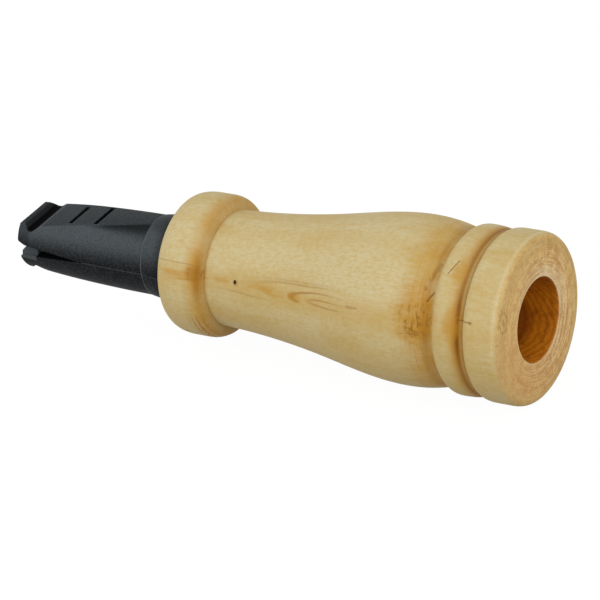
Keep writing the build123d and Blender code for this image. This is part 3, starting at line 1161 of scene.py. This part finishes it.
    # Painted shade further into the bore
    inner_bore_shade = x + ((far_turn - 45) / 30) ** 2 * 1.4
    bore_colour = paint(sine(arch, 1.5).ease(-0.5, 1) * 0.32, tones.bore, tones.bore_dark)
    bore_colour = coats(
        bore_colour,
        (sine(arch, 0.55).ease(0, 1) * 0.14, tones.bore_dark),
        (inner_bore_shade.ease(-4.6, -6.2) * 0.6, tones.bore_dark),
        (mottle.ease(0.45, 0.7) * 0.45, tones.bore_dark),
        # Painted shade over the upper part of the bore wall
        (far_turn.ease(0, -40) * 0.35, tones.bore_dark),
    )
    colour = paint(within, colour, bore_colour)
    mouth_line = abs(radius - bore_r - 0.25).ease(0.3, 0.05) * x.ease(-0.6, -0.1)
    colour = paint(mouth_line * 0.3, colour, tones.end_torn)
    connect(colour, shader, "Base Color")

    tool_marks = sine(radius, 0.45) * face
    relief = fibres * 0.5 + streaks * 0.4 + specks * face * 1.5 + tool_marks * 0.4 - cracks * 2 - knot
    bump = place.node("Bump", None, {"Strength": 0.35, "Distance": 0.12 * MM, "Height": relief})
    connect(bump, shader, "Normal")
    connect(0.52 + fibres * 0.12 + face * 0.15, shader, "Roughness")
    shader.inputs["Specular IOR Level"].default_value = 0.18
    return finish


def through_three(x, start, end, values):
    """A size along the call that has the three given values at the start, the middle and the end."""
    share = (x - start) / (end - start)
    first, middle, last = values
    return first + share * (4 * middle - 3 * first - last) + share * share * 2 * (first - 2 * middle + last)


def black_plastic(tones, size):
    """Matte black plastic with flow marks, dust and a scuffed seam, and with painted light and shade: lighter
    upward-facing sides and tooth, painted highlights along the collar's edge and the flat's front edge, and
    painted shade in the hollows, between the jaws, below the flat, near the tip, on faces turned to the bell
    and by the wood.
    """
    finish, place, shader = new_finish("black_plastic", bends=True)
    x, y, z = parts_of(place)
    radius = (y * y + z * z) ** 0.5
    normal = place.node("TexCoord", None, None, output=1)
    facing_bell, _, facing_up = parts_of(normal)
    flow = noise(place, (2.4, 0.7, 0.7), detail=3, roughness=0.65)
    grain = noise(place, (5, 5, 5), detail=2)
    dust = noise(place, (3.6, 3.6, 3.6), detail=1).ease(0.74, 0.8)
    wear = noise(place, (0.3, 0.3, 0.3), detail=2).ease(0.35, 0.65)

    collar_foot, collar_edge, tip = (at / MM for at in (size.collar_foot, size.collar_edge, size.tip))
    collar_edge_r, spigot_r = size.collar_edge_r / MM, size.spigot_r / MM
    flex = tip + size.flex_from_tip / MM
    flat_front = tip + size.flat_front_from_tip / MM
    arm_sizes = [r / MM for r in (size.arm_root_r, size.arm_middle_r, size.arm_tip_r)]
    flat_sizes = [h / MM for h in (size.flat_root, size.flat_middle, size.flat_front)]
    arm_r = through_three(x, collar_edge, tip, arm_sizes)
    flat_z = through_three(x, collar_edge, flat_front, flat_sizes)
    on_arm = x.ease(collar_edge - 0.05, collar_edge - 0.35)
    # Painted shade wherever the arms' surface sinks below their outer round and the flat: slots, bite groove
    # and the faces between the jaws
    hollow = (arm_r - radius).smallest(flat_z - abs(z)).ease(0.06, 0.5) * on_arm
    tooth_rear = tip + (size.tooth_from_tip + size.tooth_length) / MM
    tooth = x.ease(tooth_rear + 0.1, tooth_rear - 0.05) * z.ease(-2.2, -1.7) * z.ease(0.75, 0.6)
    # Painted shade on the lower jaw's inner face, seen through the gap between the jaws
    inner_face_shade = facing_up.ease(0.5, 0.9) * z.ease(0.02, -0.02) * x.ease(tooth_rear, tooth_rear + 0.15)
    toward_collar = ((x - collar_edge) / 17 + 1).largest(0.01)
    # Painted shade in a band below the flat's edge, wider towards the collar
    below_flat_shade = ((flat_z - abs(z)) / (toward_collar * 2.4)).ease(1, 0.1)
    below_flat_shade = below_flat_shade * (flat_z - abs(z)).ease(0.02, 0.2) * toward_collar.ease(0.1, 0.5) * on_arm
    # Painted shade on the last few millimetres of the arms at the tip
    lip = x.ease(tip + 3.4, tip + 2.4)
    # Painted shade on faces of the arms that turn towards the bell, away from the key light
    bell_facing_shade = facing_bell.ease(0.15, 0.6) * on_arm
    # Painted contact shade on the collar where it meets the wood
    by_wood_shade = x.ease(collar_edge + 1.8, collar_edge + 5.5) * x.ease(collar_foot + 0.1, collar_foot - 0.1)

    on_rim = radius.ease(collar_edge_r - 0.5, collar_edge_r - 0.3)
    # Painted highlight along the collar's edge, patchy with the wear noise
    collar_highlight = abs(x - collar_edge).ease(0.22, 0.05) * on_rim
    seam = abs(z).ease(0.16, 0.03) * radius.ease(spigot_r - 0.6, spigot_r - 0.2)
    seam = seam * x.ease(flex - 1, flex + 1)
    # Painted highlight along the flat's front edge
    flat_edge_highlight = (abs(x - flat_front) + abs(abs(z) - flat_sizes[2])).ease(0.5, 0.1)
    # A scuffed light seam, with the painted highlights of the collar's edge and the flat's front edge
    rubbed_seam_and_highlights = (collar_highlight * (0.5 + wear * 0.5)).largest(seam * (0.15 + wear * 0.25)).largest(flat_edge_highlight * 0.6)

    # Painted light: faces that turn upwards are painted the lighter dull grey, the flat on top a little less
    painted_top_light = facing_up.ease(0.05, 0.66) * (0.4 + facing_up.ease(0.99, 0.8) * 0.6)
    colour = paint(painted_top_light * 0.9, tones.black, tones.dull)
    colour = coats(
        colour,
        (flow.ease(0.45, 0.75) * 0.16, tones.grey),
        (grain.ease(0.5, 0.72) * 0.4, tones.grey),
        (grain.ease(0.48, 0.3) * 0.5, tones.shade),
    )
    # Painted shade near the tip, below the flat, on faces turned to the bell and on the collar by the wood
    painted_shade = (lip * 0.4).largest(below_flat_shade * 0.8).largest(bell_facing_shade * 0.85).largest(by_wood_shade * 0.6)
    colour = coats(
        colour,
        (painted_shade, tones.shade),
        (hollow.largest(inner_face_shade), tones.shade),
        # Painted light: the tooth, which faces the light, gets the lighter dull grey over the shade
        (tooth * 0.8, tones.dull),
        (dust * (1 - hollow) * 0.5, tones.grey),
        (rubbed_seam_and_highlights, tones.grey),
    )
    connect(colour, shader, "Base Color")
    relief = flow * 0.6 + grain * 0.7
    bump = place.node("Bump", None, {"Strength": 0.4, "Distance": 0.08 * MM, "Height": relief})
    connect(bump, shader, "Normal")
    connect(0.5 + flow * 0.14 + hollow * 0.3, shader, "Roughness")
    shader.inputs["Specular IOR Level"].default_value = 0.06
    return finish


def reed_film(tones):
    """Smoke grey film with fine scratches along the reed."""
    finish, place, shader = new_finish("reed_film", bends=True)
    scratches = noise(place, (0.25, 9, 9), detail=3, roughness=0.6)
    haze = noise(place, (0.4, 0.4, 0.4), detail=2)
    colour = paint(scratches.ease(0.5, 0.8) * 0.3 + haze * 0.15, tones.smoke, tones.grey)
    connect(colour, shader, "Base Color")
    connect(0.28 + scratches * 0.2, shader, "Roughness")
    bump = place.node("Bump", None, {"Strength": 0.2, "Distance": 0.03 * MM, "Height": scratches})
    connect(bump, shader, "Normal")
    return finish


class BIRDCALL_PT_sidebar(bpy.types.Panel):
    """Lists the steps that make the call, and its sizes"""

    bl_label = "Bird Call"
    bl_idname = "BIRDCALL_PT_sidebar"
    bl_space_type = "VIEW_3D"
    bl_region_type = "UI"
    bl_category = "Bird Call"

    def draw(self, context):
        settings = context.scene.bird_call
        for step in STEPS:
            self.layout.operator(step.bl_idname)
        for part in settings.__annotations__:
            group = getattr(settings, part)
            column = self.layout.column(align=True)
            column.label(text=part.title())
            for name in group.__annotations__:
                column.prop(group, name)


GROUPS = (
    BarrelSettings,
    MouthpieceSettings,
    ReedSettings,
    FinishSettings,
    StageSettings,
    BirdCallSettings,
)
STEPS = (BIRDCALL_OT_turn_barrel, BIRDCALL_OT_mould_halves, BIRDCALL_OT_cut_reed, BIRDCALL_OT_set_stage)


def register():
    for kind in (*GROUPS, *STEPS, BIRDCALL_PT_sidebar):
        bpy.utils.register_class(kind)
    bpy.types.Scene.bird_call = bpy.props.PointerProperty(type=BirdCallSettings)


def unregister():
    del bpy.types.Scene.bird_call
    for kind in reversed((*GROUPS, *STEPS, BIRDCALL_PT_sidebar)):
        bpy.utils.unregister_class(kind)


def main():
    register()
    bpy.ops.bird_call.turn_barrel()
    bpy.ops.bird_call.mould_halves()
    bpy.ops.bird_call.cut_reed()
    bpy.ops.bird_call.set_stage()


if __name__ == "__main__":
    main()
